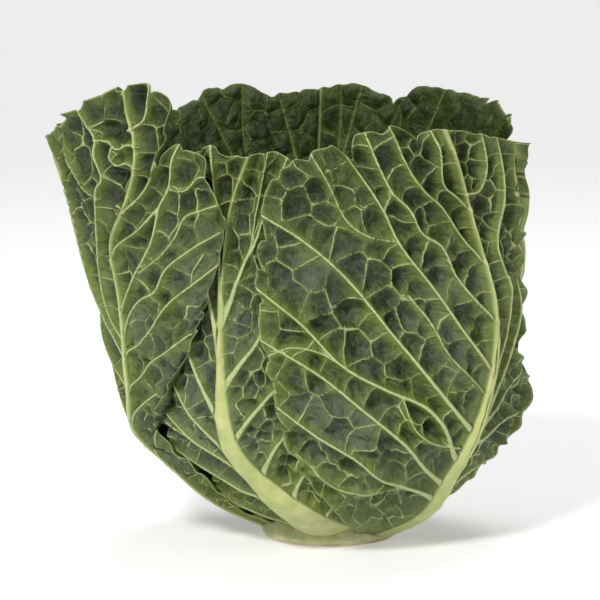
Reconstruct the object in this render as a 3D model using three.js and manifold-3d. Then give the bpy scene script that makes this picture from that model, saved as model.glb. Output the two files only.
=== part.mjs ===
// A savoy cabbage, standing on the cut end of its stem. Millimetres, +Z up.
// The origin is the middle of the stem's cut face. The front, with its two widest leaves, looks towards -Y.
//
// Every wrapper leaf lies on one family of nested shells. A place on a shell is given by its azimuth in
// degrees (0 at the front, 90 at the right, 180 at the back), its wall height in mm, and its depth in mm
// inside the outermost shell. Two leaves that pass at different depths can't cut through each other.
import * as THREE from "three";
import { mergeVertices } from "three/addons/utils/BufferGeometryUtils.js";
import Module from "manifold-3d";

// Driving dimensions of the head
const WALL = [                // the outermost shell's radius to the side, at rising heights
  [24, 3], [47, 13.5], [67, 31], [84, 49], [90, 72], [92, 105], [95, 140], [100, 172], [103, 208],
];
const FLATTENING = 0.86;      // depth of the head, front to back, as a share of its width
const FLATTENED_FROM = 5;     // wall heights between which the round base turns into the flattened head
const FLATTENED_BY = 60;
const LEAN = -0.09;           // sideways lean of the head, for each mm of height
const LOOSENESS = 0.25;       // extra spacing of the shells towards the top
const LOOSE_FROM = 30;
const LOOSE_BY = 150;
const SWELLS = [              // broad swells of every shell: height, turns, climb for each mm, and start
  { height: 1.8, turns: 3, climb: 0.03, start: 0.6 },
  { height: 1.3, turns: 5, climb: -0.05, start: 2.1 },
  { height: 0.8, turns: 9, climb: 0.04, start: 4.0 },
];
const SWELLS_FROM = 12;       // wall heights between which the swells grow to their full height
const SWELLS_BY = 70;

// Driving dimensions of a leaf blade
const BLADE = 1.1;            // thickness
const FIRST_WALL = 5;         // wall height where every leaf leaves the stem
const SLIM_RIB = 1.3;         // height and half width of the midrib at the tip of a leaf
const VEIN_RISE = 1.7;        // side veins of an outer leaf stand this far out of its outer face
const POCKET = 1.7;           // the blade between two veins sinks this far in
const CROSS_VEIN_RISE = 0.5;
const ROWS_A_VEIN = 3;        // rows of cells from one side vein to the next
const WAVES_FROM = 60;        // wall heights between which the waves of the margins grow to their full height
const WAVES_BY = 150;
const LOW_WAVES = 0.45;       // their share of it below that
const SLOW_WAVES = 0.43;      // turns of the slower wave for each turn of the quicker one
const QUICK_SHARE = 0.65;     // the quicker wave's share of a margin's waves
const NET_FADE = 0.6;         // how much lower a side vein is at the margin
const SMOOTH_FOOT = 0.15;     // share of the leaf, at its foot, over which net and waves begin
const VEIN_SPAN = 0.76;       // share of the midrib that side veins spring from
const VEIN_CROWDING = 1.25;   // how they crowd towards the foot
const MARGIN_CROWDING = 0.65; // how their ends are spread along the margin
const VEIN_LIFT = 0.05;       // rise of a side vein's middle, in mm of wall height a degree of its width
const COLUMNS = 7;            // cells from the midrib to the margin
const RIB_TAPER = 0.75;       // how soon the midrib thins out
const WIDEST_RIB = 0.3;       // a midrib takes at most this share of its half of the leaf
const FLAT_RIM = 6;           // the net flattens out by this power towards the margin

// Driving dimensions of the stem
const STEM_RADIUS = 22;
const STEM_TOP = 21.5;
const STEM_EDGE = 1.5;
const STEM_SIDES = 36;
const GAP = 0.4;              // clearance between a leaf's foot and the stem

// Driving dimensions of the heart, the tight ball of leaves in the middle
const HEART_AXES = [53, 43, 54];
const HEART_HEIGHT = 81;
const HEART_STEP = 2.2;       // each leaf of the heart lies this far outside the one below it
const HEART_SINK = 4;         // and reaches this far into the core, so that nothing is left hollow
const HEART_RIB = 2.4;
const HEART_VEINS = 7;
const HEART_RELIEF = 0.9;
const HEART_ROUNDNESS = 0.6;  // how soon its leaves widen from their foot
const HEART_LOBES = [0.07, 17];  // depth and number of the lobes of a margin
const HEART_PARTS = [10, 70]; // degrees from the foot over which the heart's leaves part from each other
const NECK_RADIUS = 15.5;     // the heart's own stalk, which carries it on the stem
const NECK_TOP = 40;
const HEART_LEAVES = [
  { azimuth: 20, end: 205, width: 60 },
  { azimuth: 160, end: 196, width: 62 },
  { azimuth: -75, end: 186, width: 64 },
  { azimuth: 75, end: 172, width: 64 },
  { azimuth: -150, end: 160, width: 66 },
  { azimuth: -10, end: 150, width: 66 },
];

// The wrapper leaves. rib, left and right are the midrib and the two margins, from foot to tip, as pairs of
// azimuth and wall height. low and high are the depths at the left margin, the midrib and the right margin,
// near the base and near the top, and foot is the depth at the stem. ruffle holds the least and the most that
// the waves of the left and of the right margin stand outwards.
const LEAVES = [
  {
    name: "leaf_front_right",
    rib: [[60, 5], [58, 15], [53, 30], [50, 48], [55, 70], [58, 98], [52, 130], [44, 162], [37, 184]],
    left: [[26, 5], [9, 14], [-1, 26], [-8, 42], [-12, 84], [-13, 114], [-10, 143], [-6, 166], [3, 175],
      [9, 178], [14, 172], [14, 180], [22, 186], [30, 182], [37, 184]],
    right: [[80, 5], [80, 16], [80, 30], [83, 45], [88, 58], [86, 69], [75, 86], [77, 100], [73, 122],
      [67, 148], [68, 164], [65, 174], [51, 180], [37, 184]],
    low: [1, 1, -0.8], high: [1, 1, 0.4], foot: 0.5,
    ruffle: [[-0.5, 4], [-1.5, 3]], waves: 6, veins: 8, relief: 1, ribHeight: 5, ribWidth: 9.5,
    fold: { at: [12, 172], reach: [7, 24], depth: 4.5 },
  },
  {
    name: "leaf_left",
    rib: [[-88, 5], [-89, 18], [-84, 34], [-75, 48], [-67, 64], [-64, 82], [-60, 110], [-57, 132],
      [-48, 150], [-42, 170], [-42, 201]],
    left: [[-114, 5], [-128, 14], [-139, 28], [-140, 50], [-134, 80], [-129, 108], [-128, 136], [-120, 156],
      [-105, 168], [-90, 175], [-74, 182], [-60, 190], [-50, 197], [-42, 201]],
    right: [[-60, 5], [-61, 14], [-58, 30], [-60, 46], [-53, 62], [-43, 73], [-30, 99], [-22, 130],
      [-18, 150], [-21, 162], [-22, 172], [-28, 178], [-34, 171], [-30, 184], [-29, 195], [-34, 202],
      [-42, 201]],
    low: [1, 1, 3], high: [-0.5, 1, 1], foot: 0.5,
    ruffle: [[-1, 3], [-1, 4]], waves: 6, veins: 7, relief: 1, ribHeight: 4.2, ribWidth: 6.5,
  },
  {
    name: "leaf_front",
    rib: [[-6, 5], [-12, 11], [-22, 22], [-28, 36], [-28, 52], [-26, 80], [-24, 112], [-20, 145], [-12, 172]],
    left: [[-48, 5], [-60, 12], [-76, 22], [-88, 36], [-91, 52], [-84, 68], [-72, 86], [-60, 110],
      [-46, 140], [-34, 162], [-23, 176], [-18, 171], [-12, 172]],
    right: [[24, 5], [18, 13], [13, 26], [12, 50], [13, 80], [17, 112], [20, 138], [14, 158], [3, 167],
      [-5, 173], [-12, 172]],
    low: [7.8, 6, 6.6], high: [7.4, 6.8, 8], foot: 3.8,
    ruffle: [[-2.5, 0.5], [-2.5, 0.5]], waves: 6, veins: 8, relief: 0.8, ribHeight: 5.2, ribWidth: 11,
  },
  {
    name: "leaf_right",
    rib: [[108, 5], [106, 20], [104, 50], [106, 90], [102, 130], [98, 156], [95, 171]],
    left: [[94, 5], [90, 15], [80, 28], [68, 46], [60, 66], [54, 90], [56, 115], [62, 140], [68, 160],
      [74, 172], [85, 172], [95, 171]],
    right: [[131, 5], [143, 14], [151, 30], [151, 58], [148, 90], [145, 120], [138, 145], [126, 160],
      [111, 168], [95, 171]],
    low: [6.6, 8.5, 1], high: [6.2, -8, -1], foot: 1.5,
    ruffle: [[-2, 0.5], [-1, 4]], waves: 6, veins: 7, relief: 0.8, ribHeight: 4, ribWidth: 7,
  },
  {
    name: "leaf_back",
    rib: [[176, 5], [178, 20], [181, 50], [178, 90], [176, 130], [174, 160], [172, 188]],
    left: [[154, 5], [145, 14], [138, 30], [132, 56], [128, 88], [121, 120], [112, 150], [102, 172],
      [97, 180], [105, 185], [118, 187], [132, 189], [144, 190], [151, 184], [160, 190], [172, 188]],
    right: [[198, 5], [210, 14], [220, 30], [230, 56], [236, 88], [242, 118], [243, 146], [236, 166],
      [222, 178], [212, 182], [205, 188], [199, 190], [192, 190], [186, 186], [172, 188]],
    low: [6.6, 2, 6], high: [3.4, 1.6, 6.4], foot: 0.5,
    ruffle: [[-2, 1], [-2, 1]], waves: 6, veins: 8, relief: 1, ribHeight: 4.6, ribWidth: 8,
  },
  {
    name: "leaf_inner_right",
    rib: [[70, 5], [71, 20], [72, 50], [71, 90], [70, 120], [68, 142], [66, 158]],
    left: [[60, 5], [46, 15], [30, 32], [16, 58], [9, 88], [10, 116], [20, 140], [38, 154], [52, 156],
      [66, 158]],
    right: [[80, 5], [94, 15], [108, 32], [122, 58], [130, 88], [128, 116], [118, 140], [100, 152], [84, 156],
      [66, 158]],
    low: [12.2, 14.4, 16.8], high: [15, 18, 21.5], foot: 12,
    ruffle: [[-1, 0.5], [-2, 1]], waves: 4, veins: 5, relief: 0.6, ribHeight: 1.8, ribWidth: 5,
  },
  {
    name: "leaf_inner_left",
    rib: [[-112, 5], [-113, 20], [-114, 50], [-112, 90], [-109, 120], [-104, 142], [-101, 156]],
    left: [[-122, 5], [-136, 15], [-150, 32], [-164, 58], [-172, 88], [-172, 114], [-160, 134], [-142, 146],
      [-122, 153], [-101, 156]],
    right: [[-102, 5], [-88, 15], [-74, 32], [-58, 58], [-49, 88], [-50, 116], [-60, 138], [-74, 152],
      [-88, 154], [-101, 156]],
    low: [12.2, 14.4, 16.8], high: [15, 18, 21.5], foot: 12,
    ruffle: [[-1, 0.5], [-2, 1]], waves: 4, veins: 5, relief: 0.6, ribHeight: 1.8, ribWidth: 5,
  },
  {
    name: "leaf_inner_front",
    rib: [[-20, 5], [-21, 20], [-22, 50], [-20, 90], [-18, 120], [-16, 142], [-14, 158]],
    left: [[-30, 5], [-40, 15], [-54, 32], [-68, 58], [-76, 88], [-74, 116], [-62, 140], [-44, 154],
      [-28, 155], [-14, 158]],
    right: [[-10, 5], [4, 15], [18, 32], [32, 58], [40, 88], [40, 116], [34, 138], [20, 152], [2, 157],
      [-14, 158]],
    low: [12.2, 14.4, 16.8], high: [15, 18, 21.5], foot: 12,
    ruffle: [[-1, 0.5], [-2, 1]], waves: 4, veins: 5, relief: 0.6, ribHeight: 1.6, ribWidth: 5,
  },
  {
    name: "leaf_inner_back",
    rib: [[156, 5], [155, 20], [154, 50], [155, 90], [157, 118], [160, 136], [162, 148]],
    left: [[146, 5], [136, 15], [124, 32], [112, 58], [104, 88], [104, 112], [114, 130], [130, 144],
      [146, 146], [162, 148]],
    right: [[166, 5], [178, 15], [190, 32], [202, 58], [210, 88], [211, 112], [204, 132], [190, 144],
      [176, 149], [162, 148]],
    low: [12.2, 14.4, 16.8], high: [15, 18, 21.5], foot: 12,
    ruffle: [[-1, 0.5], [-2, 1]], waves: 4, veins: 5, relief: 0.6, ribHeight: 1.6, ribWidth: 5,
  },
];

const OUTER_GREEN = new THREE.MeshStandardMaterial({ color: 0x5c6b35, roughness: 0.55, metalness: 0 });
const INNER_GREEN = new THREE.MeshStandardMaterial({ color: 0x7f9150, roughness: 0.5, metalness: 0 });
const HEART_GREEN = new THREE.MeshStandardMaterial({ color: 0xa3b06a, roughness: 0.5, metalness: 0 });
const STEM_CREAM = new THREE.MeshStandardMaterial({ color: 0xcdcaa0, roughness: 0.6, metalness: 0 });

const wasm = await Module();
wasm.setup();

function mix(a, b, share) {
  return a + (b - a) * share;
}

function ease(low, high, x) {
  const share = Math.min(Math.max((x - low) / (high - low), 0), 1);
  return share * share * (3 - 2 * share);
}

// A smooth line through values at rising knots
function through(knots, values, x) {
  const last = knots.length - 2;
  let i = 0;
  while (i < last && x > knots[i + 1]) {
    i += 1;
  }
  const rise = (k) => (values[k + 1] - values[k]) / (knots[k + 1] - knots[k]);
  const slope = (k) => (rise(Math.max(k - 1, 0)) + rise(Math.min(k, last))) / 2;
  const span = knots[i + 1] - knots[i];
  const u = (x - knots[i]) / span;
  const start = (2 * u ** 3 - 3 * u ** 2 + 1) * values[i] + (u ** 3 - 2 * u ** 2 + u) * span * slope(i);
  return start + (3 * u ** 2 - 2 * u ** 3) * values[i + 1] + (u ** 3 - u ** 2) * span * slope(i + 1);
}

const WALL_HEIGHTS = WALL.map((point) => point[1]);
const WALL_RADII = WALL.map((point) => point[0]);

function wallRadius(height) {
  return through(WALL_HEIGHTS, WALL_RADII, height);
}

function swell(angle, height) {
  let total = 0;
  for (const wave of SWELLS) {
    total += wave.height * Math.sin(wave.turns * angle + wave.climb * height + wave.start);
  }
  return total * ease(SWELLS_FROM, SWELLS_BY, height);
}

// Where an azimuth, a wall height and a depth lie in space
function place(azimuth, height, depth) {
  const angle = THREE.MathUtils.degToRad(azimuth);
  const slope = (wallRadius(height + 0.01) - wallRadius(height - 0.01)) / 0.02;
  const inward = depth * (1 + LOOSENESS * ease(LOOSE_FROM, LOOSE_BY, height)) / Math.hypot(1, slope);
  const radius = wallRadius(height) + swell(angle, height) - inward;
  const z = height + inward * slope;
  const flat = mix(1, FLATTENING, ease(FLATTENED_FROM, FLATTENED_BY, height));
  return [LEAN * z + radius * Math.sin(angle), -radius * Math.cos(angle) * flat, z];
}

// A course is a smooth line through pairs of azimuth and wall height, read by its share of the way
function course(points) {
  const knots = [0];
  for (let i = 1; i < points.length; i += 1) {
    const from = place(...points[i - 1], 0);
    const to = place(...points[i], 0);
    knots.push(knots[i - 1] + Math.hypot(to[0] - from[0], to[1] - from[1], to[2] - from[2]));
  }
  const total = knots[knots.length - 1];
  const azimuths = points.map((point) => point[0]);
  const heights = points.map((point) => point[1]);
  return (share) => [through(knots, azimuths, share * total), through(knots, heights, share * total)];
}

// A bent line from start to end, drawn towards middle
function bend(start, middle, end, share) {
  const near = (1 - share) ** 2;
  const between = 2 * share * (1 - share);
  return start.map((value, k) => near * value + between * middle[k] + share ** 2 * end[k]);
}

// One leaf's flat plan. side is -1 or 1, along runs from foot to tip, and across from midrib to margin.
// A line of equal along follows a side vein.
function leafPlan(leaf) {
  const rib = course(leaf.rib);
  const margins = { [-1]: course(leaf.left), 1: course(leaf.right) };
  return (side, along, across) => {
    const start = rib(VEIN_SPAN * along ** VEIN_CROWDING);
    const end = margins[side](along ** MARGIN_CROWDING);
    const lift = VEIN_LIFT * Math.abs(end[0] - start[0]) * (1 - along);
    const middle = [(start[0] + end[0]) / 2, (start[1] + end[1]) / 2 + lift];
    return bend(start, middle, end, across);
  };
}

// How deep the leaf lies at a place in its plan, before its ribs and waves
function leafDepth(leaf, side, across, height) {
  const edge = side < 0 ? 0 : 2;
  const share = ease(LOOSE_FROM, LOOSE_BY, height);
  const spine = mix(leaf.low[1], leaf.high[1], share);
  const rim = mix(leaf.low[edge], leaf.high[edge], share);
  const spread = mix(spine, rim, across);
  return mix(leaf.foot, spread, ease(FIRST_WALL, LOOSE_FROM, height));
}

// How far the outer face stands out, by row and column of cells: a side vein on one row in three, cross veins
// on the even columns, and pockets between them
function netRelief(row, column) {
  const across = column / COLUMNS;
  if (row % ROWS_A_VEIN === 1) {
    return VEIN_RISE * (1 - NET_FADE * across);
  }
  if (column === 1) {
    return 0;
  }
  return (column + row) % 2 === 0 ? CROSS_VEIN_RISE : -POCKET;
}

// The wave of a leaf's margin, which dies out towards the midrib
function marginWave(leaf, side, along, across, height) {
  const angle = leaf.waves * 2 * Math.PI * along ** MARGIN_CROWDING;
  const wave = mix(Math.sin(SLOW_WAVES * angle + 2), Math.sin(angle + side), QUICK_SHARE);
  const grown = mix(LOW_WAVES, 1, ease(WAVES_FROM, WAVES_BY, height));
  const [low, high] = leaf.ruffle[side < 0 ? 0 : 1];
  return mix(low, high, 0.5 + 0.5 * wave) * across ** 3 * grown;
}

// A crease where a blade folds in, round a place on it
function foldDepth(fold, azimuth, height) {
  const u = (azimuth - fold.at[0]) / fold.reach[0];
  const v = (height - fold.at[1]) / fold.reach[1];
  return fold.depth * Math.exp(-u * u - v * v);
}

const OUTER = 0;
const INNER = 1;

// A blade as one closed solid. corner(side, row, column) gives the outer and the inner point of a place.
// The two sides share the midrib and the last row, and both faces are split along the same diagonals.
function bladeMesh(rows, corner) {
  const positions = [];
  const triangles = [];
  const numbers = new Map();

  function numberOf(side, [row, column, face]) {
    const shared = column === 0 || row === rows;
    const key = [shared ? 1 : side, row, column, face].join();
    if (!numbers.has(key)) {
      numbers.set(key, positions.length / 3);
      positions.push(...corner(shared ? 1 : side, row, column)[face]);
    }
    return numbers.get(key);
  }

  function quad(side, turn, corners) {
    const [a, b, c, d] = corners.map((spot) => numberOf(side, spot));
    triangles.push(...(turn > 0 ? [a, b, c, a, c, d] : [a, c, b, a, d, c]));
  }

  for (const side of [-1, 1]) {
    for (let row = 0; row < rows; row += 1) {
      for (let column = 0; column < COLUMNS; column += 1) {
        const cell = [[row, column], [row, column + 1], [row + 1, column + 1], [row + 1, column]];
        quad(side, side, cell.map((spot) => [...spot, OUTER]));
        quad(side, -side, cell.map((spot) => [...spot, INNER]));
      }
      const low = [row, COLUMNS];
      const high = [row + 1, COLUMNS];
      quad(side, side, [[...low, OUTER], [...low, INNER], [...high, INNER], [...high, OUTER]]);
    }
    for (let column = 0; column < COLUMNS; column += 1) {
      const near = [0, column];
      const far = [0, column + 1];
      quad(side, side, [[...near, INNER], [...far, INNER], [...far, OUTER], [...near, OUTER]]);
    }
  }
  return { positions, triangles };
}

function toGeometry({ positions, triangles }) {
  const geometry = new THREE.BufferGeometry();
  geometry.setAttribute("position", new THREE.Float32BufferAttribute(positions, 3));
  geometry.setIndex(triangles);
  geometry.computeVertexNormals();
  return geometry;
}

function toSolid({ positions, triangles }) {
  const vertProperties = Float32Array.from(positions);
  const triVerts = Uint32Array.from(triangles);
  return new wasm.Manifold(new wasm.Mesh({ numProp: 3, vertProperties, triVerts }));
}

function fromSolid(solid) {
  const mesh = solid.getMesh();
  return toGeometry({ positions: Array.from(mesh.vertProperties), triangles: Array.from(mesh.triVerts) });
}

// A geometry of three.js with only its positions, and its shared vertices merged
function welded(geometry) {
  const bare = geometry.clone();
  bare.deleteAttribute("normal");
  bare.deleteAttribute("uv");
  const merged = mergeVertices(bare, 0.001);
  const positions = Array.from(merged.attributes.position.array);
  return { positions, triangles: Array.from(merged.index.array) };
}

// A wrapper leaf: the first column of cells is the midrib's flank, and the rest share out the blade
function wrapperLeaf(leaf) {
  const rows = ROWS_A_VEIN * leaf.veins;
  const plan = leafPlan(leaf);

  function acrossOf(side, along, column) {
    const from = place(...plan(side, along, 0), 0);
    const to = place(...plan(side, along, 1), 0);
    const reach = Math.hypot(to[0] - from[0], to[1] - from[1], to[2] - from[2]);
    const ribWidth = mix(leaf.ribWidth, SLIM_RIB, along ** RIB_TAPER);
    const flank = Math.min(ribWidth / reach, WIDEST_RIB);
    return column === 0 ? 0 : mix(flank, 1, (column - 1) / (COLUMNS - 1));
  }

  return toGeometry(bladeMesh(rows, (side, row, column) => {
    const along = row / rows;
    const across = acrossOf(side, along, column);
    const [azimuth, height] = plan(side, along, across);
    const fold = leaf.fold ? foldDepth(leaf.fold, azimuth, height) : 0;
    const net = column > 0 ? netRelief(row, column) * leaf.relief * (1 - across ** FLAT_RIM) : 0;
    const wave = marginWave(leaf, side, along, across, height);
    const outward = (net + wave) * ease(0, SMOOTH_FOOT, along);
    const depth = leafDepth(leaf, side, across, height) + fold - outward;
    const ridge = column === 0 ? mix(leaf.ribHeight, SLIM_RIB, along ** RIB_TAPER) : 0;
    return [place(azimuth, height, depth - ridge), place(azimuth, height, depth + BLADE)];
  }));
}

// Where the heart's leaves lie: degrees along the leaf from the stalk over the top, degrees to its side, and
// the height above the core
function placeOnHeart(azimuth, along, aside, lift) {
  const [turn, rise, veer] = [azimuth, along, aside].map(THREE.MathUtils.degToRad);
  const outward = Math.cos(veer) * Math.sin(rise);
  const x = outward * Math.sin(turn) + Math.sin(veer) * Math.cos(turn);
  const y = -outward * Math.cos(turn) + Math.sin(veer) * Math.sin(turn);
  const z = -Math.cos(veer) * Math.cos(rise);
  const lean = LEAN * HEART_HEIGHT;
  const reach = HEART_AXES.map((axis) => axis + lift);
  return [lean + reach[0] * x, reach[1] * y, HEART_HEIGHT + reach[2] * z];
}

// A leaf of the heart, drawn as a thick patch whose foot and underside lie inside the core
function heartLeaf({ azimuth, end, width }, number) {
  const rows = 2 * HEART_VEINS;
  function margin(side, share) {
    const half = Math.PI * share;
    const lobes = 1 + HEART_LOBES[0] * Math.sin(HEART_LOBES[1] * share + side);
    return [end * (0.5 - 0.5 * Math.cos(half)), side * width * Math.sin(half) ** HEART_ROUNDNESS * lobes];
  }

  return toSolid(bladeMesh(rows, (side, row, column) => {
    const along = row / rows;
    const across = column / COLUMNS;
    const start = [end * VEIN_SPAN * along ** VEIN_CROWDING, 0];
    const finish = margin(side, along ** MARGIN_CROWDING);
    const middle = [(start[0] + finish[0]) / 2, (start[1] + finish[1]) / 2];
    const [rise, aside] = bend(start, middle, finish, across);
    const vein = row % 2 === 1 ? HEART_RELIEF : -HEART_RELIEF * (column % 2);
    const rib = column === 0 ? mix(HEART_RIB, 0.5, along) : vein * (1 - across ** FLAT_RIM);
    const lift = (HEART_STEP * (number + 1) + rib) * ease(...HEART_PARTS, rise);
    return [placeOnHeart(azimuth, rise, aside, lift), placeOnHeart(azimuth, rise, aside, -HEART_SINK)];
  }));
}

function heart() {
  const ball = new THREE.SphereGeometry(1, 32, 20).rotateX(Math.PI / 2);
  ball.scale(...HEART_AXES).translate(LEAN * HEART_HEIGHT, 0, HEART_HEIGHT);
  const stalkLength = NECK_TOP - STEM_TOP - GAP;
  const stalk = new THREE.CylinderGeometry(NECK_RADIUS, NECK_RADIUS, stalkLength, 24).rotateX(Math.PI / 2);
  stalk.translate(0, 0, NECK_TOP - stalkLength / 2);
  let solid = toSolid(welded(ball)).add(toSolid(welded(stalk)));
  HEART_LEAVES.forEach((leaf, number) => {
    solid = solid.add(heartLeaf(leaf, number));
  });
  return fromSolid(solid);
}

// The stem is turned: a flat cut foot with a worn edge, and above it a cone along the feet of the leaves
function stem() {
  const slope = (wallRadius(FIRST_WALL + 0.01) - wallRadius(FIRST_WALL - 0.01)) / 0.02;
  const sideRadius = (z) => wallRadius(FIRST_WALL) - (z - FIRST_WALL) / slope - GAP;
  const outline = [
    [0, 0],
    [STEM_RADIUS, 0],
    [sideRadius(STEM_EDGE) - STEM_EDGE, STEM_EDGE / 2],
    [sideRadius(2 * STEM_EDGE), 2 * STEM_EDGE],
    [sideRadius(STEM_TOP), STEM_TOP],
    [0, STEM_TOP],
  ];
  const turned = new THREE.LatheGeometry(outline.map(([x, y]) => new THREE.Vector2(x, y)), STEM_SIDES);
  const leaning = new THREE.Matrix4().makeShear(0, 0, 0, 0, LEAN, 0);
  return toGeometry(welded(turned.rotateX(Math.PI / 2).applyMatrix4(leaning)));
}

function named(name, geometry, material) {
  const mesh = new THREE.Mesh(geometry, material);
  mesh.name = name;
  return mesh;
}

const cabbage = new THREE.Group();
cabbage.add(named("stem", stem(), STEM_CREAM));
cabbage.add(named("heart", heart(), HEART_GREEN));
for (const leaf of LEAVES) {
  const material = leaf.name.includes("inner") ? INNER_GREEN : OUTER_GREEN;
  cabbage.add(named(leaf.name, wrapperLeaf(leaf), material));
}

export default cabbage;
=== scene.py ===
# %% [markdown]
# # A savoy cabbage
# A savoy head is a stem with leaves round it. Its charm is in the leaves: each one is a thin
# blade hung on a thick pale midrib, with side veins that stand out like cords and dark pockets
# sunk between them. The solids already hold the size and the form of every leaf. Here each leaf
# is made again from the same numbers, with a mesh fine enough to carry the veins and pockets.

# %% Load the frame
import math

import bmesh
import bpy
import numpy as np
from mathutils import Matrix, Vector, kdtree


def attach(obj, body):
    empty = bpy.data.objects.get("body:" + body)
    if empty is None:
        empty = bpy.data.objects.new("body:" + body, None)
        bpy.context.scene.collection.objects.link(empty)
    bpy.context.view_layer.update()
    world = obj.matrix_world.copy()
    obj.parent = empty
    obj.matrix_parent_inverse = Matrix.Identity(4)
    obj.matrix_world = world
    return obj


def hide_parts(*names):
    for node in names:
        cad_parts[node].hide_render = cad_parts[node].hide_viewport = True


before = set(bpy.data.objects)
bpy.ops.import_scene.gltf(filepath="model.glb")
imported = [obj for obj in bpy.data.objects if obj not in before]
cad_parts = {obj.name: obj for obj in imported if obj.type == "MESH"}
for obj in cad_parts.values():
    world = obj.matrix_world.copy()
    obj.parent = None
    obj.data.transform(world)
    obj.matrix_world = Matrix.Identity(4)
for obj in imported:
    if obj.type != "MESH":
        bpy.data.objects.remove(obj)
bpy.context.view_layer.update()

# %% [markdown]
# ## Two helpers
# Blender keeps a form in a mesh and its place in an object. Most forms here are built with bmesh,
# a workbench for loose geometry, and then have to be written to a mesh with smooth faces. These
# two steps come back for every piece, so each gets a function.

# %% Two helpers
def as_mesh(bm, name):
    mesh = bpy.data.meshes.new(name)
    bm.to_mesh(mesh)
    bm.free()
    mesh.polygons.foreach_set("use_smooth", [True] * len(mesh.polygons))
    return mesh


def put(name, data):
    """A new object of the scene that shows the given mesh, lamp or camera."""
    piece = bpy.data.objects.new(name, data)
    bpy.context.scene.collection.objects.link(piece)
    return piece


print("the scene starts with", len(bpy.data.meshes), "meshes")

# %% [markdown]
# ## Shells
# All wrapper leaves lie on one family of nested shells, like the layers of an onion. A place on
# a shell has an azimuth in degrees, a wall height in millimetres, and a depth inside the
# outermost shell. Two leaves at different depths stay apart, as long as waves and pockets are
# smaller than the gap between them. The numbers are those of the solids, so every fine leaf lies
# close to its solid. NumPy works on whole arrays of places at once, which is much quicker than a
# loop over vertices.

# %% The shells
MM = 0.001
NUDGE = 0.01        # slopes are read over this much height to each side
WALL = np.array([
    (24, 3), (47, 13.5), (67, 31), (84, 49), (90, 72), (92, 105), (95, 140), (100, 172), (103, 208),
], dtype=float)
FLATTENING, FLATTENED_FROM, FLATTENED_BY = 0.86, 5, 60
LEAN = -0.09
LOOSENESS, LOOSE_FROM, LOOSE_BY = 0.25, 30, 150
SWELLS = [(1.8, 3, 0.03, 0.6), (1.3, 5, -0.05, 2.1), (0.8, 9, 0.04, 4.0)]
SWELLS_FROM, SWELLS_BY = 12, 70
FIRST_WALL = 5


def mix(a, b, share):
    return a + (b - a) * share


def ease(low, high, x):
    share = np.clip((x - low) / (high - low), 0, 1)
    return share * share * (3 - 2 * share)


def through(knots, values, x):
    """A smooth line through values at rising knots."""
    knots, values = np.asarray(knots, float), np.asarray(values, float)
    rise = np.diff(values) / np.diff(knots)
    i = np.searchsorted(knots[1:-1], x)
    last = len(knots) - 2
    slope = lambda k: (rise[np.maximum(k - 1, 0)] + rise[np.minimum(k, last)]) / 2
    span = knots[i + 1] - knots[i]
    u = (x - knots[i]) / span
    start = (2 * u**3 - 3 * u**2 + 1) * values[i] + (u**3 - 2 * u**2 + u) * span * slope(i)
    return start + (3 * u**2 - 2 * u**3) * values[i + 1] + (u**3 - u**2) * span * slope(i + 1)


def wall_radius(height):
    return through(WALL[:, 1], WALL[:, 0], height)


def swell(angle, height):
    waves = (tall * np.sin(turns * angle + climb * height + start)
             for tall, turns, climb, start in SWELLS)
    return sum(waves) * ease(SWELLS_FROM, SWELLS_BY, height)


def place(azimuth, height, depth):
    """Where an azimuth, a wall height and a depth lie, in millimetres."""
    azimuth, height, depth = np.broadcast_arrays(azimuth, height, depth)
    angle = np.radians(azimuth)
    slope = (wall_radius(height + NUDGE) - wall_radius(height - NUDGE)) / (2 * NUDGE)
    inward = depth * (1 + LOOSENESS * ease(LOOSE_FROM, LOOSE_BY, height)) / np.hypot(1, slope)
    radius = wall_radius(height) + swell(angle, height) - inward
    z = height + inward * slope
    flat = mix(1, FLATTENING, ease(FLATTENED_FROM, FLATTENED_BY, height))
    x = LEAN * z + radius * np.sin(angle)
    return np.stack([x, -radius * np.cos(angle) * flat, z], axis=-1)


def course(points):
    """A smooth line through pairs of azimuth and wall height, read by its share of the way."""
    points = np.array(points, dtype=float)
    spots = place(points[:, 0], points[:, 1], 0)
    knots = np.concatenate([[0], np.cumsum(np.linalg.norm(np.diff(spots, axis=0), axis=1))])
    total = knots[-1]
    line = lambda share: (through(knots, points[:, 0], share * total),
                          through(knots, points[:, 1], share * total))
    return line, total


print("the head is", round(2 * float(wall_radius(np.array(172.0)))), "mm wide near its top")

# %% [markdown]
# ## The outer leaves
# These are the leaves that are seen. Each could be drawn by hand in edit mode, but a table of
# numbers is easier to mend. rib, left and right are the midrib and the two margins from foot to
# tip, as azimuth and height. low and high are the depths at the left margin, the midrib and the
# right margin, near the base and near the top. ruffle and waves belong to the slow waves, and
# folds are dents of the blade: middle, size and depth.
#
# routes and branches are the courses of the side veins, by half of the blade: -1 is left and 1 is
# right. The first two leaves have them, so that their veins run as the real ones do where they
# can be seen. The other leaves get regular veins, as many as veins says, and forks is the chance
# that one forks. starts and ends only set the rows of the first leaf's left half, as shares of
# midrib and margin. hug draws a margin in low down, and steep marks a leaf whose blade runs far
# outwards to its midrib.

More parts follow.
